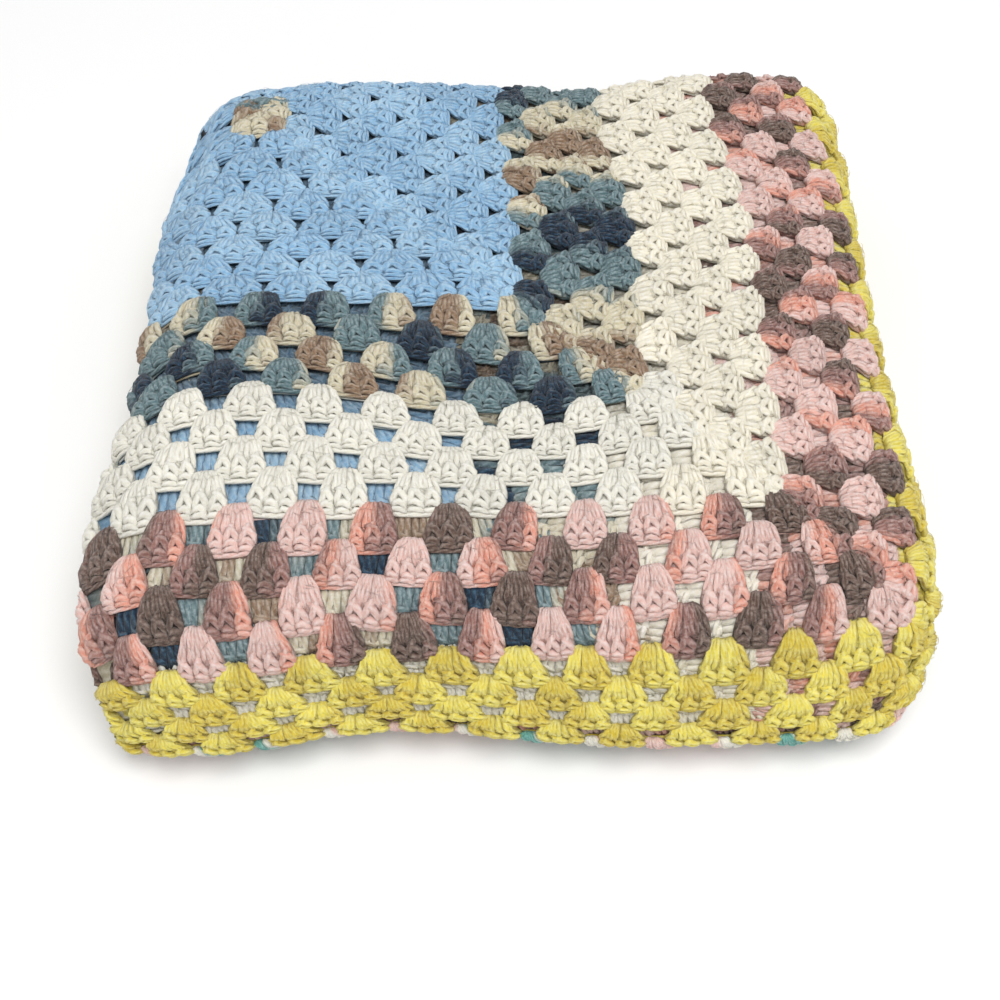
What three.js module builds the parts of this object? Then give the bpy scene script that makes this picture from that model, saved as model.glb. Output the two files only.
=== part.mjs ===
// A crochet afghan: one square blanket of about a metre, folded four times into a soft square packet.
// The cloth is one closed sheet. It starts flat, centre stitch at the origin, and each fold turns half
// of what is there under the rest: at the left, the back, the right and the front, so sixteen layers lie
// over each other. The packet is then settled, which rounds its edges and slopes its front.
// The hems' resting places set the cloth's size, 1.00 m by 1.04 m.
// X runs right, Y back and Z up, in millimetres. The frame's origin is the middle of the underside.
import * as THREE from "three";

// Driving dimensions of the cloth
const THICKNESS = 3;
const LAYER_PITCH = 4; // from one layer to the next in the packet
const LAYERS = 16;
const HEIGHT = (LAYERS - 1) * LAYER_PITCH + THICKNESS;

// How far the packet reaches from the centre stitch, which lies near its back left corner
const REACH = { left: 32, back: 27, right: 221, front: 233 };

// One row for each fold: the side that turns under, the line that it turns about and the layers it takes
const FOLDS = {
  left: fold("x", -1, REACH.left, 1),
  back: fold("y", 1, REACH.back, 2),
  right: fold("x", 1, REACH.right, 4),
  front: fold("y", -1, REACH.front, 8),
};

// Lines where the layers' facets meet, kept in step through the packet so that no two layers cross
const COLUMNS = [-22, -10, 4, 60, 118, 175]; // x, between the left and the right turn
const ROWS = [12, 0, -25, -75, -125, -165, -187]; // y, between the back and the front turn
const TURN_FACETS = { left: 3, back: 4, right: 8, front: 9 };

// Where the hems come to rest after the last turn in each direction
const HEMS = { rightHalf: -22, leftHalf: -10, frontHalf: 12, backHalf: -25 };

// How the packet settles: each edge's loss of height, over the run inside its reach
const SETTLE = {
  left: { drop: 0.28, run: 28, power: 2 },
  back: { drop: 0.12, run: 26, power: 2 },
  right: { drop: 0.06, run: 30, power: 2 },
  front: { drop: 0.52, run: 48, power: 2 },
};
const CORNER_PULL = 0.055; // share by which a corner draws in towards the middle
const CORNER_POWER = 6; // how closely that keeps to the corner
const FRONT_DIP = { depth: 7, centre: 62, width: 45 }; // a stretch of the front edge that lies back
const BACK_DIP = { depth: 8, centre: 122, width: 28 }; // and one of the back edge that lies forward
const BACK_BULGE = { depth: 5, centre: 26, width: 46 }; // beside one that stands out
const LEAN = { out: 11.5, from: 98, run: 78 }; // upper layers slid to the left
const LEAN_BACK = { depth: 8.5, centre: 6, width: 34 }; // and in at the back corner
const LEAN_FOOT = -0.8; // the lowest layer's share of the lean, against the top layer's whole
const LEAN_REACH = { right: 200, width: 232 }; // the lean fades from the left edge to this line
const EASE = { depth: 3.5, centre: -105, width: 85, from: 150, run: 70 }; // the right edge drawn in
const TUCK = { depth: 4.5, from: 200, run: 130 }; // lower layers of the front drawn back, most at the left
const HOLLOW = { depth: 5, centre: 38, width: 34 }; // and deepest here
const SWELL = { height: 0.02, length: 95 }; // long low waves over the top, as a share of the height
const DRIFT = { size: 1.6, across: 7, along: 9 }; // layers lie a little out of line, over these heights

const SET_DOWN = { x: 4.5, y: -2.5 }; // brings the middle of the settled packet to the origin

const MIDDLE = {
  x: (REACH.right - REACH.left) / 2,
  y: (REACH.back - REACH.front) / 2,
};

/** A fold that turns `layers` layers under, its outermost skin just touching `reach`. */
function fold(axis, side, reach, layers) {
  const radius = (layers - 0.5) * LAYER_PITCH;
  return { axis, side, radius, start: reach - radius - THICKNESS / 2, turn: Math.PI * radius };
}

/** Carries a point round one fold: straight up to its start, round half a circle, then back below. */
function turnUnder(point, { axis, side, radius, start, turn }) {
  const travel = point[axis] * side - start;
  if (travel <= 0) return;
  const arm = point.z + radius;
  if (travel < turn) {
    const angle = travel / radius;
    point[axis] = (start + arm * Math.sin(angle)) * side;
    point.z = -radius + arm * Math.cos(angle);
  } else {
    point[axis] = (start - (travel - turn)) * side;
    point.z = -radius - arm;
  }
}

/** Share of an edge's full loss of height at `inside` millimetres inside that edge's reach. */
function edgeLoss(inside, { drop, run, power }) {
  return drop * Math.max(0, (run - inside) / run) ** power;
}

/** A bell curve: the depth at the centre, falling off over the width. */
function wave(value, { depth, centre, width }) {
  return depth * Math.exp(-(((value - centre) / width) ** 2));
}

/** A straight ramp from 0 to 1 as value goes from `from` over `run`, held at its ends. */
function ramp(value, from, run) {
  return Math.min(1, Math.max(0, (value - from) / run));
}

/** How far the layers at this place have slid to the left: out at the front, in at the back corner. */
function leanAt({ x, y, z }) {
  const forward = ramp(-y, LEAN.from, LEAN.run);
  const out = LEAN.out * forward * forward * (3 - 2 * forward) - wave(y, LEAN_BACK);
  const share = LEAN_FOOT + (1 - LEAN_FOOT) * (z / HEIGHT);
  return out * share * ramp(LEAN_REACH.right - x, 0, LEAN_REACH.width);
}

/** Settles the square stack: lower edges, slid layers, corners drawn in, and edges that aren't straight. */
function settle(point) {
  const { x, y, z } = point;
  const across = Math.abs((x - MIDDLE.x) / ((REACH.right + REACH.left) / 2));
  const along = Math.abs((y - MIDDLE.y) / ((REACH.back + REACH.front) / 2));
  const inner = (1 - across ** 4) * (1 - along ** 4);
  const swell = 1 + SWELL.height * Math.cos((x + 0.6 * y) / SWELL.length) * inner;
  const height =
    swell *
    (1 - edgeLoss(x + REACH.left, SETTLE.left)) *
    (1 - edgeLoss(REACH.right - x, SETTLE.right)) *
    (1 - edgeLoss(REACH.back - y, SETTLE.back)) *
    (1 - edgeLoss(y + REACH.front, SETTLE.front));
  const pull = 1 - CORNER_PULL * (across * along) ** CORNER_POWER;
  const nearFront = Math.max(0, (MIDDLE.y - y) / (MIDDLE.y + REACH.front)) ** 3;
  const nearBack = Math.max(0, (y - MIDDLE.y) / (REACH.back - MIDDLE.y)) ** 3;
  const tuck = (TUCK.depth * ramp(TUCK.from - x, 0, TUCK.run) + wave(x, HOLLOW)) * (1 - z / HEIGHT);
  const front = (wave(x, FRONT_DIP) + tuck) * nearFront;
  const back = (wave(x, BACK_DIP) - wave(x, BACK_BULGE)) * nearBack * (z / HEIGHT);
  const ease = wave(y, EASE) * ramp(x, EASE.from, EASE.run);
  const driftAcross = DRIFT.size * Math.sin(z / DRIFT.across);
  const driftAlong = DRIFT.size * Math.cos(z / DRIFT.along);
  return new THREE.Vector3(
    (x - MIDDLE.x) * pull - leanAt(point) - ease + driftAcross + SET_DOWN.x,
    (y - MIDDLE.y) * pull + front - back + driftAlong + SET_DOWN.y,
    z * height,
  );
}

/** Steps along a fold's half circle, as lengths of cloth from the fold's start. */
function turnSteps(turn, facets) {
  return Array.from({ length: facets + 1 }, (_, step) => (turn * step) / facets);
}

/**
 * Stations along one half of the cloth, as lengths of path outwards from the centre stitch.
 * `lines` are the facet lines' distances from the first turn's side to the last turn's side.
 */
function halfPath(lines, first, firstFacets, last, lastFacets, hem) {
  const outward = first ? lines : lines.filter((line) => line > 0);
  const stations = [];
  let length = 0;
  if (first) {
    stations.push(...turnSteps(first.turn, firstFacets).map((step) => first.start + step));
    length = 2 * first.start + first.turn;
  }
  stations.push(...outward.map((line) => length + line));
  stations.push(...turnSteps(last.turn, lastFacets).map((step) => length + last.start + step));
  const turned = length + 2 * last.start + last.turn;
  const returning = lines.filter((line) => line >= hem).reverse();
  stations.push(...returning.map((line) => turned - line));
  return stations;
}

/** All stations of one direction: the half that meets two turns, then the centre, then the other half. */
function stationsAcross(lines, first, firstFacets, last, lastFacets, hems) {
  const twice = halfPath(lines, first, firstFacets, last, lastFacets, hems.twice);
  const once = halfPath(lines, null, 0, last, lastFacets, hems.once);
  return [...twice.reverse().map((length) => -length), 0, ...once];
}

const columnStations = stationsAcross(
  COLUMNS, FOLDS.left, TURN_FACETS.left, FOLDS.right, TURN_FACETS.right,
  { twice: HEMS.leftHalf, once: HEMS.rightHalf },
);
const rowStations = stationsAcross(
  ROWS.map((y) => -y), FOLDS.back, TURN_FACETS.back, FOLDS.front, TURN_FACETS.front,
  { twice: -HEMS.backHalf, once: -HEMS.frontHalf },
);

/** Place in the packet of the cloth point `u` to the right and `v` to the front, `w` above mid-sheet. */
function place(u, v, w) {
  const point = { x: u, y: -v, z: w };
  for (const name of ["left", "back", "right", "front"]) turnUnder(point, FOLDS[name]);
  point.z += HEIGHT - THICKNESS / 2;
  return settle(point);
}

/** The sheet as one closed body: an upper and a lower skin on the stations' grid, and a rim round both. */
function sheetGeometry() {
  const columns = columnStations.length;
  const rows = rowStations.length;
  const positions = [];
  for (const w of [THICKNESS / 2, -THICKNESS / 2]) {
    for (const v of rowStations) {
      for (const u of columnStations) positions.push(...place(u, v, w).toArray());
    }
  }
  const index = [];
  const at = (skin, row, column) => (skin * rows + row) * columns + column;
  const quad = (a, b, c, d) => index.push(a, b, c, a, c, d);
  for (let row = 0; row + 1 < rows; row++) {
    for (let column = 0; column + 1 < columns; column++) {
      quad(at(0, row, column), at(0, row + 1, column), at(0, row + 1, column + 1), at(0, row, column + 1));
      quad(at(1, row, column), at(1, row, column + 1), at(1, row + 1, column + 1), at(1, row + 1, column));
    }
  }
  for (let column = 0; column + 1 < columns; column++) {
    quad(at(0, 0, column), at(0, 0, column + 1), at(1, 0, column + 1), at(1, 0, column));
    quad(
      at(0, rows - 1, column + 1), at(0, rows - 1, column),
      at(1, rows - 1, column), at(1, rows - 1, column + 1),
    );
  }
  for (let row = 0; row + 1 < rows; row++) {
    quad(at(0, row + 1, 0), at(0, row, 0), at(1, row, 0), at(1, row + 1, 0));
    quad(
      at(0, row, columns - 1), at(0, row + 1, columns - 1),
      at(1, row + 1, columns - 1), at(1, row, columns - 1),
    );
  }
  const geometry = new THREE.BufferGeometry();
  geometry.setAttribute("position", new THREE.Float32BufferAttribute(positions, 3));
  geometry.setIndex(index);
  geometry.computeVertexNormals();
  return geometry;
}

const yarn = new THREE.MeshStandardMaterial({ color: 0x9dbfe0, roughness: 0.9, metalness: 0 });
const afghanCloth = new THREE.Mesh(sheetGeometry(), yarn);
afghanCloth.name = "afghan_cloth";

const afghan = new THREE.Group();
afghan.add(afghanCloth);

export default afghan;
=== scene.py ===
"""A folded granny-square afghan: a thin sheet on the sixteen layers of the pile, with crocheted
clusters of double-crochet stitches on its outer skin and underside, on the layer under the skin,
and round the edges of the pile."""

import math

import bpy
import numpy as np
from mathutils import Matrix


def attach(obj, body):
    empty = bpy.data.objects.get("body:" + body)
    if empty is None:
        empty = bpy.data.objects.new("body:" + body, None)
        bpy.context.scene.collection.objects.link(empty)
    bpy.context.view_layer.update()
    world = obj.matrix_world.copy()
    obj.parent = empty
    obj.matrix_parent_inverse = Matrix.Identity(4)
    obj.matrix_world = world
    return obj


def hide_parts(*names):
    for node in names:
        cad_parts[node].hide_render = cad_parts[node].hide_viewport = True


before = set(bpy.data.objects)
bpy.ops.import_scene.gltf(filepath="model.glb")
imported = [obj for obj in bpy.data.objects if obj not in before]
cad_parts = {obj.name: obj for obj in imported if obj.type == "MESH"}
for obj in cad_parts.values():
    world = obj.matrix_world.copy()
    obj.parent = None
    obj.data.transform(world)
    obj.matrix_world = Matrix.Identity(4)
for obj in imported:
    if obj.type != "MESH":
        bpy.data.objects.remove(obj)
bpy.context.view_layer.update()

# ---------------------------------------------------------------- the fold, in millimetres

THICKNESS = 3.0
LAYER_PITCH = 4.0
HEIGHT = 63.0
FOLDS = (  # axis, side, reach, layers
    (0, -1, 32.0, 1),
    (1, 1, 27.0, 2),
    (0, 1, 221.0, 4),
    (1, -1, 233.0, 8),
)
MIDDLE = (94.5, -103.0)
HALF = (126.7, 130.0)
EDGES = (  # axis, sign, reach, drop, run, power
    (0, -1, 32.0, 0.28, 28.0, 2),
    (1, 1, 27.0, 0.12, 26.0, 2),
    (0, 1, 221.0, 0.06, 30.0, 2),
    (1, -1, 233.0, 0.52, 48.0, 2),
)
CORNER_PULL, CORNER_POWER = 0.055, 6
FRONT_DIP = (7.0, 62.0, 45.0)  # depth, centre, width, as in the next three
BACK_DIP = (8.0, 122.0, 28.0)
BACK_BULGE = (5.0, 26.0, 46.0)
HOLLOW = (5.0, 38.0, 34.0)
NEAR_RUN, NEAR_POWER = 130, 3  # how the dips fade from the front or back edge to the middle
LEAN_OUT, LEAN_FROM, LEAN_RUN = 11.5, 98.0, 78.0  # how far the top slides at the front, from, over
LEAN_BACK, LEAN_CENTRE, LEAN_WIDTH = 8.5, 6.0, 34.0  # less this bell at the back corner
LEAN_FOOT, LEAN_REACH = -0.8, (200.0, 232.0)  # the share at the floor, and the fade to the right
EASE, EASE_CENTRE, EASE_WIDTH, EASE_FROM, EASE_RUN = 3.5, -105.0, 85.0, 150.0, 70.0
TUCK, TUCK_FROM, TUCK_RUN = 4.5, 200.0, 130.0
SWELL, SWELL_LENGTH, SWELL_SLANT = 0.02, 95.0, 0.6
DRIFT, DRIFT_ACROSS, DRIFT_ALONG = 1.6, 7.0, 9.0
SET_DOWN = (4.5, -2.5)

# Where the rounds lie on the cloth. p is rounds to the right of the centre stitch and q rounds to
# its front, and each knot below is a place in rounds and the value there.
ROUNDS = 48
ROUND_WIDTH = 10.5
ACROSS_KNOTS = (  # p to millimetres
    (-48, -528), (-3, -30), (0, 1), (9, 98.8), (13, 138.8), (17, 181), (21, 218), (48, 477),
)
ALONG_KNOTS = (  # q to millimetres
    (-48, -530), (-3, -29), (0, 2), (9, 88), (13, 130.2), (17, 177.3), (21, 216.2), (25, 249),
    (48, 509),
)
PULLS = (  # p, its width, q, its width, then the millimetres to the right and to the front
    (0.8, 4, 12.8, 4, 0.0, -6.6),
    (9, 4, 12, 4, 0.0, 7.5),
    (0, 3.2, 0.3, 3.2, 4.5, -5.5),
)
BACK_SHIFT = (7.7, -0.3, 3.5)  # millimetres to the left along the back edge, centre, width
BACK_SHIFT_FROM, BACK_SHIFT_RUN = 6, 7  # where it begins in p, and how soon it is whole
SIDE_SLIP = (  # q to millimetres to the left
    (8, 0), (10, 1.4), (13, 2.0), (16, 4.4), (18, 6.0), (21, 8.0), (24, 6.5), (26, 5.0), (34, 0),
)
SIDE_FADE = ((13, 1), (20, 0.6))  # p to its share
SLIP_ACROSS = ((-9, 0), (-5, 1))  # p to the share of it, less what the pile itself slides
SLIP_ALONG = ((-5, 0), (-2, 1), (26, 1), (34, 0))  # and q to the share
FRONT_SLIP = (  # q to millimetres to the front
    (7, 0), (10, 2.5), (13, 2.5), (15, -0.5), (16.5, -0.5), (18, 4.5), (20, 6.3), (21, 5.2),
    (24, 0),
)
FRONT_FADE = ((-9, 0), (-4, 1), (6, 1), (14, 0.65), (19, 0))  # p to its share


def turn_under(x, y, z, axis, side, reach, layers):
    """Cloth past a fold line runs round a half circle, then flat back underneath:
    s = start + arm sin(angle), z = arm cos(angle) - radius, where angle is the distance past the
    start over the radius, at most half a turn."""
    radius = (layers - 0.5) * LAYER_PITCH
    start = reach - radius - THICKNESS / 2
    s = (x if axis == 0 else y) * side
    travel = s - start
    angle = np.clip(travel / radius, 0, math.pi)
    beyond = np.maximum(travel - math.pi * radius, 0)
    arm = z + radius
    folded = np.where(travel <= 0, s, start + arm * np.sin(angle) - beyond) * side
    depth = np.where(travel <= 0, z, arm * np.cos(angle) - radius)
    return (folded, y, depth) if axis == 0 else (x, folded, depth)


def bell(value, centre, width):
    """1 at the centre, falling off as exp(-((value - centre) / width)^2)."""
    return np.exp(-(((value - centre) / width) ** 2))


def graph(value, knots):
    """The piecewise line through the knots, level beyond the first and the last."""
    return np.interp(value, *np.transpose(knots))


def slide(x, y):
    """How far the top layer has slid to the left: a smooth step out towards the front, less a
    bell at the back corner, fading to nothing at the right."""
    forward = np.clip((-y - LEAN_FROM) / LEAN_RUN, 0, 1)
    out = LEAN_OUT * forward**2 * (3 - 2 * forward) - LEAN_BACK * bell(y, LEAN_CENTRE, LEAN_WIDTH)
    return out * np.clip((LEAN_REACH[0] - x) / LEAN_REACH[1], 0, 1)


def settle(x, y, z):
    """The pile sinks at its edges by drop (1 - inside / run) ^ power, swells by a long cosine,
    pulls in at the corners by the sixth power of the distance out, slides and dips at its sides;
    layers drift by sines of z."""
    across, along = np.abs(x - MIDDLE[0]) / HALF[0], np.abs(y - MIDDLE[1]) / HALF[1]
    inner = (1 - across**4) * (1 - along**4)
    height = 1 + SWELL * np.cos((x + SWELL_SLANT * y) / SWELL_LENGTH) * inner
    for axis, sign, reach, drop, run, power in EDGES:
        inside = reach - sign * (x if axis == 0 else y)
        height = height * (1 - drop * np.maximum(0, (run - inside) / run) ** power)
    pull = 1 - CORNER_PULL * (across * along) ** CORNER_POWER
    level = z / HEIGHT
    near_front = np.maximum(0, (MIDDLE[1] - y) / NEAR_RUN) ** NEAR_POWER
    near_back = np.maximum(0, (y - MIDDLE[1]) / NEAR_RUN) ** NEAR_POWER
    tuck = TUCK * np.clip((TUCK_FROM - x) / TUCK_RUN, 0, 1) + HOLLOW[0] * bell(x, *HOLLOW[1:])
    front = (FRONT_DIP[0] * bell(x, *FRONT_DIP[1:]) + tuck * (1 - level)) * near_front
    dip = BACK_DIP[0] * bell(x, *BACK_DIP[1:]) - BACK_BULGE[0] * bell(x, *BACK_BULGE[1:])
    back = dip * near_back * level
    ease = EASE * bell(y, EASE_CENTRE, EASE_WIDTH) * np.clip((x - EASE_FROM) / EASE_RUN, 0, 1)
    lean = slide(x, y) * (LEAN_FOOT + (1 - LEAN_FOOT) * level)
    return (
        (x - MIDDLE[0]) * pull - lean - ease + DRIFT * np.sin(z / DRIFT_ACROSS) + SET_DOWN[0],
        (y - MIDDLE[1]) * pull + front - back + DRIFT * np.cos(z / DRIFT_ALONG) + SET_DOWN[1],
        z * height,
    )


def lay(u, v, w):
    """A cloth point u to the right and v to the front of the centre stitch, w above the
    mid-sheet, folded left under, back under, right under and front under, then settled."""
    x, y, z = u, -v, w + np.zeros_like(u)
    for fold in FOLDS:
        x, y, z = turn_under(x, y, z, *fold)
    return np.stack(settle(x, y, z + HEIGHT - THICKNESS / 2), axis=-1)


def skin(u, v, lift, level=0.0):
    """The point at that level plus lift times the unit normal, which is the cross product of
    small steps."""
    step = 0.4
    here = lay(u, v, level)
    ahead, beside = lay(u, v + step, level) - here, lay(u + step, v, level) - here
    normal = np.cross(ahead, beside)
    normal /= np.maximum(np.linalg.norm(normal, axis=-1, keepdims=True), 1e-9)
    return here + normal * lift[..., None], normal


def stretch(p, q):
    """Rounds to millimetres of cloth: piecewise lines, with soft local pulls where the hand left
    the cloth, and the slips of the rounds at the left and the front."""
    u, v = graph(p, ACROSS_KNOTS), graph(q, ALONG_KNOTS)
    for p_at, p_wide, q_at, q_wide, right, front in PULLS:
        pull = np.exp(-(((p - p_at) / p_wide) ** 2) - ((q - q_at) / q_wide) ** 2)
        u, v = u + right * pull, v + front * pull
    whole = np.clip((p - BACK_SHIFT_FROM) / BACK_SHIFT_RUN, 0, 1)
    u = u - BACK_SHIFT[0] * bell(q, *BACK_SHIFT[1:]) * whole
    slip = graph(q, SIDE_SLIP) * graph(p, SIDE_FADE) - slide(u, -v)
    u = u - slip * graph(p, SLIP_ACROSS) * graph(q, SLIP_ALONG)
    v = v + graph(q, FRONT_SLIP) * graph(p, FRONT_FADE)
    return u, v


# ---------------------------------------------------------------- yarns

SHADES = {  # sRGB, in steps of 255
    "sky": (147, 188, 220),
    "mist": (164, 202, 230),
    "cream": (236, 233, 221),
    # a yellower cream: painted warm light on the right side of the cream rounds
    "cream_in_painted_warm_light": (239, 233, 215),
    "bone": (224, 215, 188),
    "tan": (156, 130, 106),
    "navy": (14, 40, 62),
    "teal": (112, 137, 142),
    "pink": (239, 205, 196),
    "coral": (237, 172, 152),
    "mauve": (165, 126, 118),
    "taupe": (117, 96, 85),
    "lemon": (240, 226, 108),
    "straw": (224, 203, 82),
    "mint": (110, 175, 165),
}
YARNS = {  # shade and length in clusters, repeated along the yarn
    "harbour_end": (
        ("bone", 0.8), ("tan", 0.5), ("bone", 0.7), ("teal", 1.1), ("tan", 0.5), ("bone", 0.4),
    ),
    "light_blue": (("sky", 1.6), ("mist", 1.4)),
    "harbour": (
        ("navy", 1.0), ("teal", 0.9), ("bone", 0.5), ("tan", 0.8), ("bone", 0.8), ("teal", 0.95),
    ),
    # the yellower stretch of the cream yarn lies along the right side of rounds 14 to 17: painted
    # warm light
    "cream": (("cream", 15), ("cream_in_painted_warm_light", 17), ("cream", 30)),
    "rose": (
        ("taupe", 1.1), ("mauve", 0.6), ("coral", 0.3), ("pink", 1.9), ("coral", 0.5),
        ("mauve", 0.5),
    ),
    "yellow": (("lemon", 1.3), ("straw", 1.2)),
    "lagoon": (("mint", 0.9), ("cream", 1.1), ("pink", 1.6), ("cream", 0.6)),
}
BANDS = (  # yarn and last round
    ("harbour_end", 1), ("light_blue", 9), ("harbour", 13), ("cream", 17), ("rose", 21),
    ("yellow", 25), ("lagoon", 29), ("light_blue", 33), ("harbour", 37), ("cream", 41),
    ("rose", 45), ("yellow", ROUNDS),
)
VISIBLE_BANDS = BANDS[:7]  # the rounds past these lie inside the pile or underneath
# for rounds 14 to 17 these phases put the yellower cream, painted warm light, on the right side
PHASES = {  # round to the cluster, counted along the round, whose middle begins the repeat
    1: 0.5, 10: 6.0, 11: 8.5, 12: 5.1, 13: 6.5, 14: 0.5, 15: 0.5, 16: 0.5, 17: 0.5, 18: 12.5,
    19: 10.0, 20: 9.5, 21: 13.3,
}
SHADE_CHANGE = 0.12  # half the length of the change from one shade to the next, in clusters


def linear(shade):
    """sRGB steps of 255 to linear light."""
    c = np.array(SHADES[shade]) / 255
    return np.where(c <= 0.04045, c / 12.92, ((c + 0.055) / 1.055) ** 2.4)


def band_of(n):
    """Index of the band that holds each round."""
    return np.searchsorted([last for _, last in BANDS], n)


def yarn_colour(n, order):
    """Colour at a place along the yarn, counted in clusters from the start of the band, or of the
    round if it has a phase: the cyclic list of shades, each flat over its length with a soft
    change to the next."""
    first = np.array([1] + [last + 1 for _, last in BANDS[:-1]])
    n = np.asarray(n)
    band = band_of(n)
    start = first[band]
    run = 2 * (n * (n - 1) - start * (start - 1)) + order
    for ring, phase in PHASES.items():
        run = np.where(n == ring, order - phase + 0.5, run)
    colour = np.zeros(run.shape + (3,))
    for index, (yarn, _) in enumerate(BANDS):
        here = band == index
        if not here.any():
            continue
        lengths = np.array([length for _, length in YARNS[yarn]])
        ends = np.cumsum(lengths)
        knots = np.stack([ends - lengths + SHADE_CHANGE, ends - SHADE_CHANGE], axis=1).ravel()
        shades = np.repeat([linear(shade) for shade, _ in YARNS[yarn]], 2, axis=0)
        place = run[here] % ends[-1]
        colour[here] = np.stack(
            [np.interp(place, knots, shades[:, k], period=ends[-1]) for k in range(3)], axis=-1
        )
    return colour


# ---------------------------------------------------------------- strands and clusters

# A cluster lies in its own axes: a across it in millimetres, b out from its round in rounds, and
# c up from the cloth in millimetres.
STRAND_TAPER, TAPER_POWER = 0.45, 6  # how much thinner a strand ends, and how late
TONE_STEP = 0.618  # the golden ratio spreads the strands' tones
FIRST_STRAND_PAINTED_SHADE = 1.4  # painted shade: the first strand of a shape, which lies under the others, is darkened
# The puffed core of a cluster: b, and its half width and height there.
CORE_OUT = (-0.34, -0.28, -0.15, 0.1, 0.3, 0.5, 0.8, 0.93, 1.0)
CORE_WIDE = (2.1, 3.1, 4.2, 5.4, 6.5, 7.2, 7.5, 7.4, 6.7)
CORE_HIGH = (0.2, 1.5, 2.4, 2.9, 3.1, 3.0, 2.3, 1.4, 0.2)
CORE_WIDEST = max(CORE_WIDE)
CORE_ENDS = (-0.33, 0.99)
CORE_RINGS = ((0, CORE_ENDS[0]), (0.15, -0.2), (0.85, 0.85), (1, CORE_ENDS[1]))  # share of them, b
CORE_CLOSED = 0.7  # size of the end rings
CORE_DEPTH = 1.1  # below the cloth
CROWN_ROUND, CROWN_LEAST = 0.75, 0.05
LOOSE, LOOSE_OUT = 0.2, 14  # a strand's stray in a, and how many times less it is in b
PLAIN_LOOSE, PLAIN_LOOSE_OUT = 0.22, 12

STITCHES = (-1, 0, 1)
LEGS, LEG_FAN, LEG_LOOSE = 9, 0.88, 0.22  # the fan is a share of the core's width
LEG_STRAY, LEG_RISE_STRAY = 0.03, 0.14
LEG_OUT = (-0.33, -0.27, -0.12, 0.1, 0.3, 0.52)
LEG_RISE = (-0.5, -0.15, -0.2, -0.3, -0.45, -0.9)
LEG_THICK = ((0, 0.6), (0.4, 0.78), (1, 0.98))  # share of the way down it, radius
STITCH_PITCH = 4.7
STITCH_LOOPS = (  # radius, sides and place in the yarn, then (a from the foot, b, lift)
    (1.08, 6, 0.0, ((0.5, 0.28, -0.5), (-0.3, 0.42, 0.35), (-1.4, 0.6, 0.4), (-1.9, 0.76, -0.5))),
    (1.08, 6, 0.06, ((-1.9, 0.4, -0.5), (-0.3, 0.47, 0.55), (1.3, 0.6, 0.5), (1.9, 0.8, -0.5))),
    (0.98, 6, 0.12, ((-2.1, 0.82, -0.3), (-0.7, 0.74, 0.35), (0.9, 0.78, 0.4), (2.2, 0.88, -0.4))),
    (0.92, 5, 0.18, ((-2.5, 0.94, -0.2), (-0.9, 0.9, 0.3), (1.1, 0.93, 0.3), (2.5, 0.98, 0.2))),
)
CHAIN = (
    (-7.3, 0.95, 0.0), (-4.7, 1.01, 0.5), (-2.0, 1.01, 0.2), (0.2, 1.03, 0.6), (2.2, 1.02, 0.2),
    (4.8, 1.01, 0.5), (7.3, 0.96, 0.0),
)
WISPS = 10  # fine stray fibres on a cluster
WISP_ACROSS, WISP_OUT, WISP_RISE = 5.5, (-0.1, 0.9), (0.7, 1.2)
WISP_REACH, WISP_REACH_OUT = 1.5, 0.13
PLAIN_TOP, PLAIN_FOOT = (3.5, 0.88), (4.8, 1.2)  # stitch pitch, half the gap between its legs
PLAIN_WRAPS = (  # radius and place in the yarn, then (a from the foot, b, c)
    (1.05, 0.2, ((-2.5, 0.56, 0.6), (-0.8, 0.5, 2.3), (0.8, 0.58, 2.3), (2.4, 0.74, 0.6))),
    (1.0, 0.3, ((-2.7, 1.0, -0.4), (-0.8, 0.94, 1.1), (1.0, 0.97, 1.1), (2.7, 1.02, -0.4))),
)
FLAT_EDGE = ((-6.8, 0.98, 0), (-2.4, 0.93, 0.3), (2.4, 1.0, -0.3), (6.9, 0.96, 0))


def smooth_path(knots, count):
    """Points on a Catmull-Rom curve through the knots, evenly spaced in its parameter."""
    k = np.asarray(knots, float)
    k = np.vstack([2 * k[0] - k[1], k, 2 * k[-1] - k[-2]])
    t = np.linspace(0, len(k) - 3 - 1e-9, count)
    i = t.astype(int)
    f = (t - i)[:, None]
    a, b, c, d = k[i], k[i + 1], k[i + 2], k[i + 3]
    square, cube = 2 * a - 5 * b + 4 * c - d, 3 * b - a - 3 * c + d
    return 0.5 * (2 * b + (c - a) * f + square * f**2 + cube * f**3)


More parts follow.
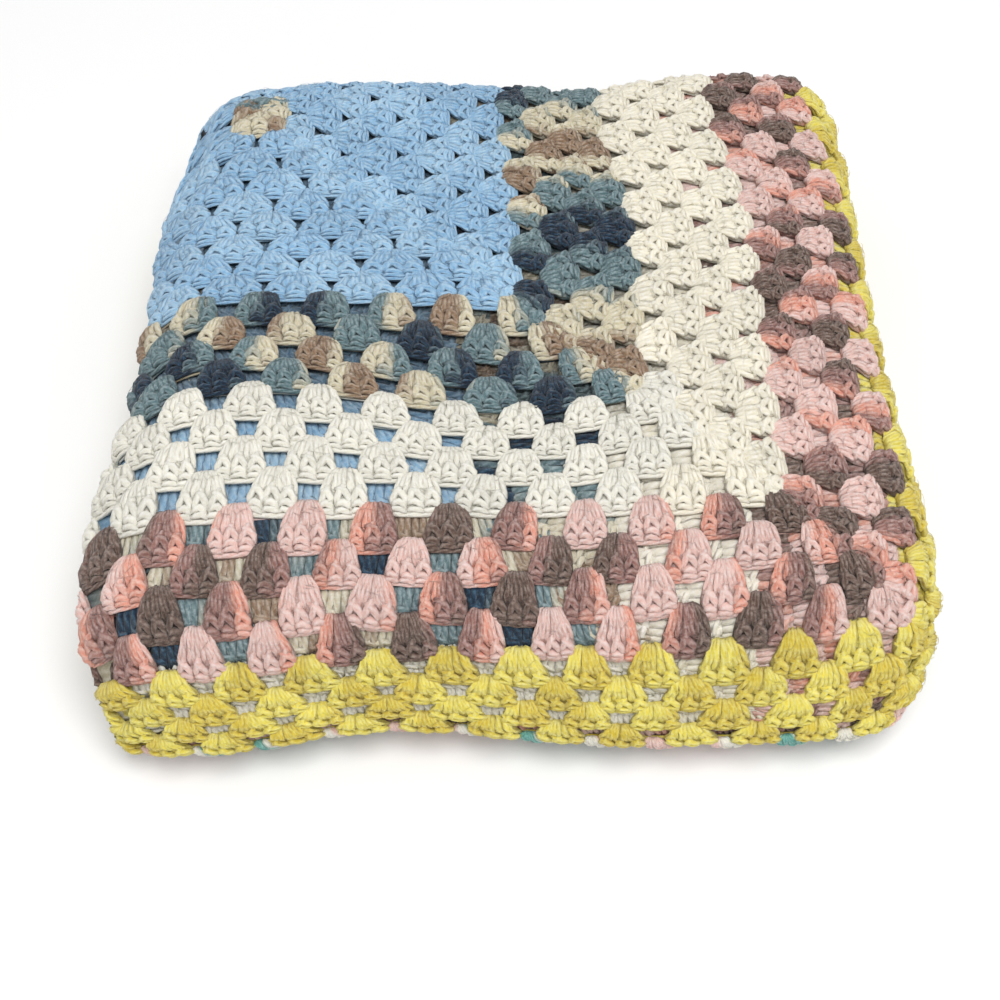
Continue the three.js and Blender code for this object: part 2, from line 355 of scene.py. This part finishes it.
def strand(knots, radius, count, sides, order, flat=1.0):
    """A tube: at each point of the path a ring centre + radius (cos n1 + flat sin n2), n1 and n2
    square to the path; its ends taper and close. Knots are (a, b, c). order is where it lies in
    the yarn, one place or where it starts and ends."""
    scale = np.array([1, ROUND_WIDTH, 1])
    path = smooth_path(np.asarray(knots, float) * scale, count)
    along = np.gradient(path, axis=0)
    along /= np.linalg.norm(along, axis=1, keepdims=True)
    side = np.cross(along, (0, 0, 1))
    side /= np.maximum(np.linalg.norm(side, axis=1, keepdims=True), 1e-6)
    rise = np.cross(side, along)
    s = np.linspace(-1, 1, count)
    size = (radius * (1 - STRAND_TAPER * s**TAPER_POWER))[:, None, None]
    turn = np.linspace(0, 2 * math.pi, sides, endpoint=False)[None, :, None]
    round_it = np.cos(turn) * side[:, None] + flat * np.sin(turn) * rise[:, None]
    ring = path[:, None] + size * round_it
    length = np.concatenate([[0], np.cumsum(np.linalg.norm(np.diff(path, axis=0), axis=1))])
    i, j = np.meshgrid(np.arange(count - 1), np.arange(sides), indexing="ij")
    k = (j + 1) % sides
    quads = np.stack(
        [i * sides + j, i * sides + k, (i + 1) * sides + k, (i + 1) * sides + j], axis=-1
    )
    around = np.stack([j, j + 1, j + 1, j], axis=-1) / sides
    down = np.stack([length[i], length[i], length[i + 1], length[i + 1]], axis=-1)
    caps = np.stack([np.arange(sides)[::-1], (count - 1) * sides + np.arange(sides)])
    first, last = order if isinstance(order, tuple) else (order, order)
    return {
        "points": (ring / scale).reshape(-1, 3),
        "order": np.repeat(np.linspace(first, last, count), sides),
        "loops": np.concatenate([quads.reshape(-1), caps.reshape(-1)]),
        "sizes": np.concatenate([np.full(quads.size // 4, 4), np.full(2, sides)]),
        "uv": np.concatenate(
            [np.stack([down, around], axis=-1).reshape(-1, 2), np.zeros((2 * sides, 2))]
        ),
    }


def together(parts):
    """Several strands as one shape: their arrays end to end, with the vertex numbers moved on, and
    a tone for each strand, the first darkened as painted shade."""
    counts = [len(p["points"]) for p in parts]
    moved = np.cumsum([0] + counts[:-1])
    shape = {k: np.concatenate([p[k] for p in parts]) for k in ("points", "order", "sizes", "uv")}
    shape["loops"] = np.concatenate([p["loops"] + m for p, m in zip(parts, moved)])
    # tones spread by the golden ratio, and painted shade on the first strand
    tones_and_shade = [i * TONE_STEP % 1 - (FIRST_STRAND_PAINTED_SHADE if i == 0 else 0) for i in range(len(parts))]
    shape["tone"] = np.repeat(tones_and_shade, counts)
    return shape


def crown(a, b):
    """Height of the puffed core over the cloth: the rise at b times the root of
    1 - 0.75 (a / half width)^2."""
    wide, high = np.interp(b, CORE_OUT, CORE_WIDE), np.interp(b, CORE_OUT, CORE_HIGH)
    return high * np.sqrt(np.clip(1 - CROWN_ROUND * (a / wide) ** 2, CROWN_LEAST, 1))


def core(rings, sides, drop):
    """The puffed core: oval rings (half width cos, height sin) along the middle line, closed at
    both ends."""
    shape = strand(
        [(0, CORE_ENDS[0], 0), (0, 0.3, 0), (0, CORE_ENDS[1], 0)], 1.0, rings, sides, (0.35, 0.65)
    )
    a, _, c = shape["points"].T
    b = np.repeat(graph(np.linspace(0, 1, rings), CORE_RINGS), sides)
    reach = np.maximum(np.hypot(a, c), 1e-6)
    a, c = a / reach, c / reach
    high = np.interp(b, CORE_OUT, CORE_HIGH) - drop
    ends = np.where((b <= CORE_ENDS[0]) | (b >= CORE_ENDS[1]), CORE_CLOSED, 1.0)
    a = a * np.interp(b, CORE_OUT, CORE_WIDE) * ends
    shape["points"] = np.stack([a, b, np.where(c > 0, c * high, c * CORE_DEPTH * ends)], axis=1)
    return shape


def on_crown(knots, radius, count, sides, order, rng, loose=LOOSE):
    """A strand that lies on the core: its knots are (a, b, lift over the crown), each moved a
    little."""
    a, b, lift = np.transpose(np.asarray(knots, float))
    a = a + rng.normal(0, loose, len(a))
    b = b + rng.normal(0, loose / LOOSE_OUT, len(b))
    return strand(np.stack([a, b, crown(a, b) + lift], axis=1), radius, count, sides, order)


def full_cluster(seed):
    """Three double-crochet stitches gathered at the top: fine legs that fan out and thicken, two
    slanted loops, a cross loop and a chain loop to each stitch, and a strand of chain along the
    edge, over a puffed core, with stray fibres."""
    rng = np.random.default_rng(seed)
    parts = [core(rings=10, sides=12, drop=0.35)]
    middle = (LEGS - 1) / 2
    count = 7
    thick = graph(np.linspace(0, 1, count), LEG_THICK)
    for leg in range(LEGS):
        fan = (leg - middle) / middle * LEG_FAN + rng.normal(0, LEG_STRAY)
        sway = fan * np.interp(LEG_OUT, CORE_OUT, CORE_WIDE)
        rise = np.array(LEG_RISE) + rng.normal(0, LEG_RISE_STRAY)
        knots = np.stack([sway, LEG_OUT, rise], axis=1)
        parts.append(on_crown(knots, thick, count, 5, (leg + 0.5) / LEGS, rng, LEG_LOOSE))
    for stitch in STITCHES:
        foot, order = stitch * STITCH_PITCH, (stitch + 1.4) / 3
        for radius, sides, later, loop in STITCH_LOOPS:
            knots = [(foot + a, b, lift) for a, b, lift in loop]
            parts.append(on_crown(knots, radius, 5, sides, order + later, rng))
    parts.append(strand(CHAIN, radius=0.85, count=12, sides=5, order=(0.1, 0.9)))
    for _ in range(WISPS):
        a, b = rng.uniform(-WISP_ACROSS, WISP_ACROSS), rng.uniform(*WISP_OUT)
        heading = rng.uniform(0, 2 * math.pi)
        da, db = WISP_REACH * math.cos(heading), WISP_REACH_OUT * math.sin(heading)
        a = a * np.interp(b, CORE_OUT, CORE_WIDE) / CORE_WIDEST
        lift = rng.uniform(*WISP_RISE)
        knots = [(a - da, b - db, 0.4), (a - 0.2 * da, b, lift), (a + da, b + db, lift + 0.1)]
        parts.append(on_crown(knots, 0.1, 4, 3, 0.5 + a / (2 * CORE_WIDEST), rng, 0.3))
    return together(parts)


def plain_cluster(seed):
    """The same cluster in fewer strands: two thick legs, a wrap and an edge strand to each
    stitch."""
    rng = np.random.default_rng(seed)
    stray = (PLAIN_LOOSE, PLAIN_LOOSE / PLAIN_LOOSE_OUT, PLAIN_LOOSE)

    def loose(knots):
        moved = np.array(knots, float)
        return moved + rng.normal(0, 1, moved.shape) * stray

    parts = [core(rings=6, sides=8, drop=1.2)]
    for stitch in STITCHES:
        top, foot, place = stitch * PLAIN_TOP[0], stitch * PLAIN_FOOT[0], (stitch + 1) / 3
        for half in (-1, 1):
            a0, a1 = top + half * PLAIN_TOP[1], foot + half * PLAIN_FOOT[1]
            leg = (
                (a0 * 0.9, -0.32, -0.8), (a0, -0.24, 1.4), (a0 * 0.7 + a1 * 0.3, 0.1, 1.9),
                (a1, 0.5, 1.6), (a1 + half * 0.7, 0.9, 0.6),
            )
            order = (place, place + 0.25)
            parts.append(strand(loose(leg), radius=1.1, count=5, sides=5, order=order))
        for radius, later, wrap in PLAIN_WRAPS:
            knots = loose([(foot + a, b, c) for a, b, c in wrap])
            parts.append(strand(knots, radius, count=4, sides=5, order=place + later))
    return together(parts)


def edge_cluster(seed):
    """A cluster pressed flat between layers: three fat flattened stitches and an edge strand,
    alike on both faces."""
    rng = np.random.default_rng(seed)
    parts = []
    for stitch in STITCHES:
        wobble = rng.normal(0, 0.25, 4)
        knots = (
            (stitch * 3.2, -0.3, wobble[0]), (stitch * 3.9 + wobble[1], 0.2, 0),
            (stitch * 4.8 + wobble[2], 0.7, 0), (stitch * 5.0, 0.94, wobble[3]),
        )
        parts.append(strand(knots, radius=2.3, count=5, sides=6, order=stitch / 3 + 0.5, flat=0.78))
    parts.append(strand(FLAT_EDGE, radius=1.35, count=6, sides=5, order=(0.1, 0.9)))
    return together(parts)


# ---------------------------------------------------------------- clusters on the cloth

ALONG = np.array([(1, 0), (0, -1), (-1, 0), (0, 1)])  # (p, q) along each side of a round
OUT = np.array([(0, 1), (1, 0), (0, -1), (-1, 0)])  # and out from it
CORNER_LEAN, CORNER_LEAN_FROM = 0.32, 0.55  # how the clusters at a corner spread apart, from b
PLUMP = {  # width at the gathered end and the edge, height, how far the gathered end stands out
    "harbour_end": (1.2, 1.3, 0.9, 0.3),
    "light_blue": (1.15, 1.44, 0.6, 0.2),
    "harbour": (1.2, 1.1, 0.95, 0.5),
    "cream": (1.2, 1.07, 0.9, 0.4),
    "rose": (1.12, 0.99, 0.95, 0.6),
    "yellow": (1.3, 1.14, 0.9, 1.8),
    "lagoon": (0.8, 0.75, 0.55, 0.2),
}
GATHERED_WIDE, EDGE_WIDE, FLATTER, KNOT = np.array([PLUMP[yarn] for yarn, _ in BANDS]).T
KNOT_WIDTH = 0.22
PACKED = np.array([1.07, 1.02, 1.2, 1.25, 1.1] + [1.07] * (len(BANDS) - 5))  # width at the right
TURN_SPREAD, GROW_SPREAD = 0.05, 0.03  # what each cluster has of its own: radians, and a share
MOVE_SPREAD = (0.35, 0.025)  # millimetres across, and rounds out
# each cluster's random tone, and the gain on the strands' tones, which carry painted shade on each
# first strand
TONE_SPREAD, STRAND_TONES_AND_SHADE = 0.03, 0.16
PRESSED_FROM, PRESSED_RUN = 3, 9  # above the floor, stitches that face down are pressed
UNDER_GAIN, UNDER_LEAST, UNDER_FLAT = 1.6, 0.3, 0.62
OVERLAP = (-1.75, 8.0)  # rounds from a place to the part of the cloth in the layer under it
OVERLAP_FADE_P = ((18.5, 1), (22, 0))  # the share of the first of them
OVERLAP_FADE_Q = ((10, 1), (18, 0.45))
LEAST_ROOM = 0.3
SECOND_RISE = ((12, 0.0), (14.5, 0.9), (20, 0.9), (22, 0.3))  # round to millimetres up in windows
SECOND_PAINTED_LIGHT = ((12.5, 0.4), (15, 1.22), (20.5, 1.22), (22, 0.85))  # round to painted light on the layer seen in the windows: under 1 painted shade, over 1 painted light


def all_clusters():
    """Round, side and place of every cluster: round n has n to a side, two rounds apart."""
    rounds = [np.full(4 * n, n) for n in range(1, ROUNDS + 1)]
    sides = [np.repeat(np.arange(4), n) for n in range(1, ROUNDS + 1)]
    turns = [np.tile(np.arange(n), 4) for n in range(1, ROUNDS + 1)]
    return np.concatenate(rounds), np.concatenate(sides), np.concatenate(turns)


def crochet(shapes, n, side, turn, seed, lift=0.0, relief=1.0, level=0.0, beside=0.0):
    """Lays the shapes on the cloth. Each cluster takes a shape of the list, with a small turn,
    move and stretch of its own; a across and b out of its round become rounds, then millimetres
    of cloth, then the pile. A lower layer is as thick as its room in the settled pile allows."""
    rng = np.random.default_rng(seed)
    count = len(n)
    angle, grow = rng.normal(0, TURN_SPREAD, count), 1 + rng.normal(0, GROW_SPREAD, (count, 2))
    grow[:, 0] *= np.where(side == 1, PACKED[band_of(n)], 1.0)
    move, tone = rng.normal(0, 1, (count, 2)) * MOVE_SPREAD, rng.normal(0, 1, count)
    pick = rng.integers(0, len(shapes), count)
    points, loops, sizes, uv, colour = [], [], [], [], []
    moved = 0
    for number, shape in enumerate(shapes):
        mine = np.flatnonzero(pick == number)
        if not len(mine):
            continue
        m = mine[:, None]
        a, b, c = (shape["points"][None, :, k] for k in range(3))
        band = band_of(n[m])
        c = c + KNOT[band] * bell(b, 0.0, KNOT_WIDTH)
        gathered = np.clip(0.5 - 2 * b, 0, 1)
        a = a * (EDGE_WIDE[band] + (GATHERED_WIDE[band] - EDGE_WIDE[band]) * gathered)
        far = b * ROUND_WIDTH
        sine, cosine = np.sin(angle[m]), np.cos(angle[m])
        across = (a * cosine - far * sine) * grow[m, 0] + move[m, 0]
        outward = (a * sine + far * cosine) * grow[m, 1] / ROUND_WIDTH + move[m, 1]
        middle = 2 * turn[m] - (n[m] - 1) + beside
        corner = np.where(turn[m] == n[m] - 1, 1, 0) - np.where(turn[m] == 0, 1, 0)
        t = middle + across / ROUND_WIDTH + corner * CORNER_LEAN * (outward - CORNER_LEAN_FROM)
        r = n[m] - 1 + outward
        p = t * ALONG[side[m], 0] + r * OUT[side[m], 0]
        q = t * ALONG[side[m], 1] + r * OUT[side[m], 1]
        if level:
            q = q + OVERLAP[1]
            p = p + OVERLAP[0] * graph(p, OVERLAP_FADE_P) * graph(q, OVERLAP_FADE_Q)
        u, v = stretch(p, q)
        foot, normal = skin(u, v, np.zeros_like(u), level)
        pressed = np.clip((foot[..., 2] - PRESSED_FROM) / PRESSED_RUN, 0, 1)
        under = np.clip(-normal[..., 2] * UNDER_GAIN - UNDER_LEAST, 0, 1)
        squeeze = (1 - under * (1 - pressed) * UNDER_FLAT) * FLATTER[band]
        rise = lift
        if level:
            room = np.linalg.norm(lay(u, v, 0.0) - foot, axis=-1) / abs(level)
            squeeze = squeeze * np.clip(room, LEAST_ROOM, 1)
            rise = lift + graph(np.maximum(p, q), SECOND_RISE)
        place = foot + normal * ((c * relief + rise) * squeeze)[..., None]
        points.append(place.reshape(-1, 3))
        shifts = moved + np.arange(len(mine))[:, None] * a.shape[1]
        loops.append((shape["loops"][None] + shifts).reshape(-1))
        moved += a.shape[1] * len(mine)
        sizes.append(np.tile(shape["sizes"], len(mine)))
        uv.append(np.tile(shape["uv"], (len(mine), 1)))
        order = side[m] * n[m] + turn[m] + beside / 2 + shape["order"][None]
        shade = yarn_colour(n[m] + np.zeros_like(order, int), order)
        # a random tone of its own, and painted shade on each shape's first strand
        own_tone_and_shade = 1 + TONE_SPREAD * tone[m] + STRAND_TONES_AND_SHADE * (shape["tone"][None] - 0.5)
        shade = shade * own_tone_and_shade[..., None]
        if level:
            # painted shade and light: the lower layer is dimmed under the middle rounds and made
            # paler under the open rounds
            painted_light = graph(np.maximum(p, q), SECOND_PAINTED_LIGHT)[..., None]
            shade = (shade * np.minimum(painted_light, 1)) ** (1 / np.maximum(painted_light, 1))
        colour.append(shade.reshape(-1, 3))
    return [np.concatenate(x) for x in (points, loops, sizes, uv, colour)]


def end_to_end(first, second):
    """Two sets of mesh arrays as one."""
    joined = [np.concatenate(pair) for pair in zip(first, second)]
    joined[1][len(first[1]):] += len(first[0])
    return joined


def make_piece(name, points, loops, sizes, uv, colour, material):
    """One mesh object at the origin from whole arrays in millimetres, with its strand map and yarn
    colour, which carries painted shade and light."""
    mesh = bpy.data.meshes.new(name)
    mesh.vertices.add(len(points))
    mesh.vertices.foreach_set("co", (points * 0.001).astype(np.float32).ravel())
    mesh.loops.add(len(loops))
    mesh.loops.foreach_set("vertex_index", loops.astype(np.int32))
    mesh.polygons.add(len(sizes))
    mesh.polygons.foreach_set("loop_start", (np.cumsum(sizes) - sizes).astype(np.int32))
    mesh.polygons.foreach_set("use_smooth", np.ones(len(sizes), bool))
    mesh.update(calc_edges=True)
    mesh.uv_layers.new(name="strand").uv.foreach_set("vector", uv.astype(np.float32).ravel())
    # the yarn colour, with painted shade and light in it
    shade = np.ones((len(points), 4), np.float32)
    shade[:, :3] = np.clip(colour, 0, 1)
    dye_and_painted_shading = mesh.color_attributes.new("yarn_dye_and_painted_shading", "FLOAT_COLOR", "POINT")
    dye_and_painted_shading.data.foreach_set("color", shade.ravel())
    mesh.materials.append(material)
    piece = bpy.data.objects.new(name, mesh)
    bpy.context.scene.collection.objects.link(piece)
    return piece


# ---------------------------------------------------------------- materials

TWIST = 4.2  # millimetres of yarn to a turn
PLIES = 3.0
FIBRES_AROUND, FIBRES_ALONG = 9, 0.9
GROOVE_DEPTH, FLUFF_DEPTH = 0.22, 2.0  # against the fibres' 1
DEEPEST, HIGHEST = 0.9, 1.85  # of the three together
GROOVE_PAINTED_SHADE, FIBRE_PAINTED_LIGHT = 0.6, 0.35  # painted shade and light: what the colour's gamma gains in the grooves and loses on the raised fibres
BUMP_DISTANCE = 0.0008


def tune(node, settings):
    """Sets inputs of a node by their names."""
    for name, value in settings.items():
        node.inputs[name].default_value = value


def new_material(name, settings):
    """A material with a Principled shader of those settings, and the shader."""
    material = bpy.data.materials.new(name)
    material.use_nodes = True
    shader = material.node_tree.nodes["Principled BSDF"]
    tune(shader, settings)
    return material, shader


def yarn_material(name, roughness, sheen, bumps, painted_shading_gain):
    """Spun yarn: the shade of the strand with fibres that run round with the twist, darkened in the
    grooves between its plies as painted shade and made paler on the raised fibres as painted light.
    The grooves are a sine of the way along the strand and round it."""
    material, shader = new_material(name, {
        "Roughness": roughness, "Sheen Weight": sheen, "Sheen Roughness": 0.6,
        "Specular IOR Level": 0.2,
    })
    nodes, links = material.node_tree.nodes, material.node_tree.links

    def step(operation, *values):
        node = nodes.new("ShaderNodeMath")
        node.operation = operation
        for socket, value in zip(node.inputs, values):
            if isinstance(value, (int, float)):
                socket.default_value = value
            else:
                links.new(value, socket)
        return node.outputs[0]

    shade = nodes.new("ShaderNodeVertexColor")
    shade.layer_name = "yarn_dye_and_painted_shading"
    way = nodes.new("ShaderNodeUVMap")
    way.uv_map = "strand"
    split = nodes.new("ShaderNodeSeparateXYZ")
    links.new(way.outputs["UV"], split.inputs[0])
    along, around = split.outputs["X"], split.outputs["Y"]
    plied = step("MULTIPLY", around, 2 * math.pi * PLIES)
    groove = step("SINE", step("MULTIPLY_ADD", along, 2 * math.pi / TWIST, plied))
    wound = nodes.new("ShaderNodeCombineXYZ")
    links.new(step("MULTIPLY", along, FIBRES_ALONG), wound.inputs["X"])
    turned = step("MULTIPLY", around, FIBRES_AROUND)
    spiral = step("MULTIPLY_ADD", along, FIBRES_AROUND / PLIES / TWIST, turned)
    links.new(spiral, wound.inputs["Y"])
    fibre = nodes.new("ShaderNodeTexNoise")
    tune(fibre, {"Scale": 1.0, "Detail": 4, "Roughness": 0.75})
    links.new(wound.outputs[0], fibre.inputs["Vector"])
    spot = nodes.new("ShaderNodeTexCoord")
    fluff = nodes.new("ShaderNodeTexNoise")
    tune(fluff, {"Scale": 900, "Detail": 4, "Roughness": 0.8})
    links.new(spot.outputs["Object"], fluff.inputs["Vector"])
    fuzz = step("MULTIPLY_ADD", fluff.outputs["Fac"], FLUFF_DEPTH, fibre.outputs["Fac"])
    height = step("MULTIPLY_ADD", groove, GROOVE_DEPTH, fuzz)
    # painted shade and light: the colour's gamma follows the height, deeper in the grooves and
    # paler on the raised fibres
    level = nodes.new("ShaderNodeMapRange")
    tune(level, {
        "From Min": DEEPEST, "From Max": HIGHEST,
        "To Min": 1.0 + GROOVE_PAINTED_SHADE * painted_shading_gain, "To Max": 1.0 - FIBRE_PAINTED_LIGHT * painted_shading_gain,
    })
    links.new(height, level.inputs["Value"])
    painted_shading_gamma = nodes.new("ShaderNodeGamma")
    links.new(shade.outputs["Color"], painted_shading_gamma.inputs["Color"])
    links.new(level.outputs[0], painted_shading_gamma.inputs["Gamma"])
    links.new(painted_shading_gamma.outputs[0], shader.inputs["Base Color"])
    bump = nodes.new("ShaderNodeBump")
    tune(bump, {"Strength": bumps, "Distance": BUMP_DISTANCE})
    links.new(height, bump.inputs["Height"])
    links.new(bump.outputs["Normal"], shader.inputs["Normal"])
    return material


MATERIALS = {
    "light_blue": yarn_material("light_blue_yarn", 0.78, 0.25, 0.6, 0.8),
    "harbour": yarn_material("harbour_yarn", 0.8, 0.2, 0.65, 1.0),
    "cream": yarn_material("cream_yarn", 0.82, 0.2, 0.5, 1.0),
    "rose": yarn_material("rose_yarn", 0.8, 0.2, 0.65, 1.0),
    "yellow": yarn_material("yellow_yarn", 0.72, 0.3, 0.6, 1.0),
    "lagoon": yarn_material("lagoon_yarn", 0.78, 0.25, 0.5, 0.8),
    "sheet": yarn_material("cloth_ground", 0.88, 0.1, 0.3, 0.8),
}
MATERIALS["harbour_end"] = MATERIALS["harbour"]

# ---------------------------------------------------------------- pieces

OUTER_LEFT, OUTER_RIGHT, OUTER_BACK = -38, 262, -37  # the outermost cloth, in its millimetres
SHOWN_TO = 30.3  # and in rounds: past this it lies underneath
NEAR_LEFT, NEAR_RIGHT, NEAR_BACK, NEAR_FRONT = 42, 9, 46, 5  # hems, in millimetres from the side
SECOND_FROM, SECOND_RIGHT, SECOND_FRONT = -3, 24.6, 29.5  # the layer under the skin, in rounds
SECOND_LIFT, SECOND_BESIDE = 0.7, 0.5  # its first row's lift, and how much lower the other is

n, side, turn = all_clusters()
middle = 2 * turn - (n - 1)
p = middle * ALONG[side, 0] + (n - 0.5) * OUT[side, 0]
q = middle * ALONG[side, 1] + (n - 0.5) * OUT[side, 1]
u, v = stretch(p, q)
spot = lay(u, v, 0.0)
low, high = spot.min(axis=0), spot.max(axis=0)

outer = (u > OUTER_LEFT) & (u < OUTER_RIGHT) & (v > OUTER_BACK)
shown, under = outer & (q < SHOWN_TO), outer & (q >= SHOWN_TO)
edges = ~outer & (
    (spot[:, 0] < low[0] + NEAR_LEFT)
    | (spot[:, 0] > high[0] - NEAR_RIGHT)
    | (spot[:, 1] > high[1] - NEAR_BACK)
    | (spot[:, 1] < low[1] + NEAR_FRONT)
)
p_under, q_under = p + OVERLAP[0], q + OVERLAP[1]
beneath = (p_under > SECOND_FROM) & (p_under < SECOND_RIGHT)
beneath &= (q_under > SECOND_FROM) & (q_under < SECOND_FRONT)

full_shapes = [full_cluster(seed) for seed in range(6)]
plain_shapes = [plain_cluster(seed) for seed in range(20, 24)]
edge_shapes = [edge_cluster(seed) for seed in range(40, 43)]

pieces = []
for index, (yarn, last) in enumerate(VISIBLE_BANDS):
    here = shown & (band_of(n) == index)
    data = crochet(full_shapes, n[here], side[here], turn[here], 100 + index, lift=0.2)
    pieces.append(make_piece(f"{yarn}_rounds_to_{last}", *data, MATERIALS[yarn]))

for index, (yarn, last) in enumerate(VISIBLE_BANDS):
    here = beneath & (band_of(n) == index)
    rows = [
        crochet(
            plain_shapes, n[here], side[here], turn[here], 200 + index + 20 * half,
            lift=SECOND_LIFT - SECOND_BESIDE * half, relief=0.75, level=-LAYER_PITCH,
            beside=float(half),
        )
        for half in (0, 1)
    ]
    data = end_to_end(*rows)
    pieces.append(make_piece(f"second_layer_{yarn}_to_{last}", *data, MATERIALS[yarn]))

for part, (label, chosen, shapes) in enumerate(
    (("underside", under, plain_shapes), ("pile_edges", edges, edge_shapes))
):
    data = crochet(shapes, n[chosen], side[chosen], turn[chosen], 300 + part, relief=0.9)
    pieces.append(make_piece(label, *data, MATERIALS["cream"]))

SKIN_FROM, SKIN_RIGHT, SKIN_FRONT = -3.5, 25.3, 31  # where the sheet's grid is fine, in rounds
FINE, COARSE = 0.25, 1.5
WINDOW_HALF, WINDOW_OUT = 0.5, 0.75  # a gap between clusters, in rounds
GROUND_DROP, GROUND_PAINTED_SHADE = -0.7, 0.75  # the mid-sheet lies just under the stitches, and its colour is darkened as painted shade
LEFT_FOLD = -3.1
UNDER_LEFT, UNDER_RIGHT, UNDER_BACK, UNDER_FRONT = -31, -3.3, -3, 30


def grid_lines(fine_to, coarse_from):
    """Where the sheet's grid lines are, in rounds: over the whole cloth, and closer together in
    the outer skin."""
    lines = (
        np.arange(-ROUNDS, SKIN_FROM, COARSE), np.arange(SKIN_FROM, fine_to, FINE),
        np.arange(coarse_from, ROUNDS, COARSE), [ROUNDS],
    )
    return np.unique(np.concatenate(lines))


def ground_sheet():
    """The cloth itself: a grid over the whole square, with the gaps between clusters left out.
    Under the left fold it takes the colours of the layer that lies there."""
    across = grid_lines(fine_to=SKIN_RIGHT, coarse_from=25.5)
    along = grid_lines(fine_to=SKIN_FRONT + 0.1, coarse_from=32)
    p, q = np.meshgrid(across, along, indexing="ij")
    u, v = stretch(p, q)
    fine = (p > SKIN_FROM) & (p < SKIN_RIGHT) & (q > SKIN_FROM) & (q < SKIN_FRONT)
    points = skin(u, v, np.where(fine, GROUND_DROP, 0.0))[0]
    pc, qc = (p[1:, 1:] + p[:-1, :-1]) / 2, (q[1:, 1:] + q[:-1, :-1]) / 2
    ring = np.floor(np.maximum(abs(pc), abs(qc))) + 1
    out = np.maximum(abs(pc), abs(qc)) - ring + 1
    beside = np.where(abs(qc) > abs(pc), abs(pc), abs(qc))
    off = abs((beside - ring + 1) % 2 - 1)
    in_skin = (pc > SKIN_FROM) & (pc < SKIN_RIGHT) & (qc > SKIN_FROM) & (qc < SKIN_FRONT)
    i, j = np.nonzero(~(in_skin & (off < WINDOW_HALF) & (out < WINDOW_OUT)))
    rows = len(along)
    loops = np.stack(
        [i * rows + j, i * rows + j + 1, (i + 1) * rows + j + 1, (i + 1) * rows + j], axis=-1
    )
    below = (p < UNDER_RIGHT) & (p > UNDER_LEFT) & (q > UNDER_BACK) & (q < UNDER_FRONT)
    pa = np.where(below, 2 * LEFT_FOLD - p - OVERLAP[0], p)
    qa = np.where(below, q - OVERLAP[1], q)
    n = np.clip(np.floor(np.maximum(abs(pa), abs(qa))) + 1, 1, ROUNDS).astype(int)
    order = np.where(abs(qa) > abs(pa), pa, n - qa).ravel() / 2
    # painted shade: the sheet under the stitches is darkened
    shade = yarn_colour(n.ravel(), order) * GROUND_PAINTED_SHADE
    used, loops = np.unique(loops, return_inverse=True)
    loops = loops.ravel()
    place = points.reshape(-1, 3)[used]
    flat = np.stack([p, q], axis=-1).reshape(-1, 2)[used]
    return place, loops, np.full(len(i), 4), flat[loops], shade[used]


sheet = make_piece("afghan_sheet", *ground_sheet(), MATERIALS["sheet"])
wall = sheet.modifiers.new("wall", "SOLIDIFY")
wall.thickness, wall.offset = 0.0007, 0
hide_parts("afghan_cloth")
for piece in [sheet, *pieces]:
    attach(piece, "root")

# ---------------------------------------------------------------- floor, light, camera, in metres

FLOOR_HALF = 4
EYE = (-0.0052, -0.3413, 0.4534)
PITCH, YAW, ROLL = math.radians(55.3), math.radians(0.9), math.radians(-1.5)
LENS, SENSOR = 55.8, 36  # millimetres

floor_mesh = bpy.data.meshes.new("floor")
corners = [(x * FLOOR_HALF, y * FLOOR_HALF, 0) for x, y in ((-1, -1), (1, -1), (1, 1), (-1, 1))]
floor_mesh.from_pydata(corners, [], [(0, 1, 2, 3)])
pale_floor, _ = new_material("pale_floor", {
    "Base Color": (0.95, 0.95, 0.95, 1), "Roughness": 0.9, "Specular IOR Level": 0.1,
})
floor_mesh.materials.append(pale_floor)
floor = bpy.data.objects.new("floor", floor_mesh)
bpy.context.scene.collection.objects.link(floor)

world = bpy.data.worlds.new("studio")
bpy.context.scene.world = world
world.use_nodes = True
tune(world.node_tree.nodes["Background"], {"Color": (1.0, 1.0, 1.0, 1), "Strength": 0.62})


def soft_light(name, place, aim, size, power):
    """A square area light that faces its aim."""
    light = bpy.data.lights.new(name, "AREA")
    light.size, light.energy = size, power
    lamp = bpy.data.objects.new(name, light)
    lamp.location = place
    way = np.array(aim) - np.array(place)
    yaw = math.atan2(way[0], -way[1])
    pitch = math.atan2(math.hypot(way[0], way[1]), -way[2])
    lamp.rotation_euler = (-pitch, 0, yaw)
    bpy.context.scene.collection.objects.link(lamp)


soft_light("key_light", (0.15, -0.38, 1.27), (0, 0, 0.03), 0.7, 11.0)

forward = np.array(
    [math.sin(YAW) * math.cos(PITCH), math.cos(YAW) * math.cos(PITCH), -math.sin(PITCH)]
)
right = np.array([math.cos(YAW), -math.sin(YAW), 0])
up = np.cross(right, forward)
rolled_right = right * math.cos(ROLL) + up * math.sin(ROLL)
rolled_up = up * math.cos(ROLL) - right * math.sin(ROLL)
camera_data = bpy.data.cameras.new("camera")
camera_data.lens, camera_data.sensor_width = LENS, SENSOR
camera_data.clip_start = 0.01
camera = bpy.data.objects.new("camera", camera_data)
camera.matrix_world = Matrix(
    [[rolled_right[i], rolled_up[i], -forward[i], EYE[i]] for i in range(3)] + [[0, 0, 0, 1]]
)
bpy.context.scene.collection.objects.link(camera)
bpy.context.scene.camera = camera
bpy.context.scene.view_settings.view_transform = "Standard"
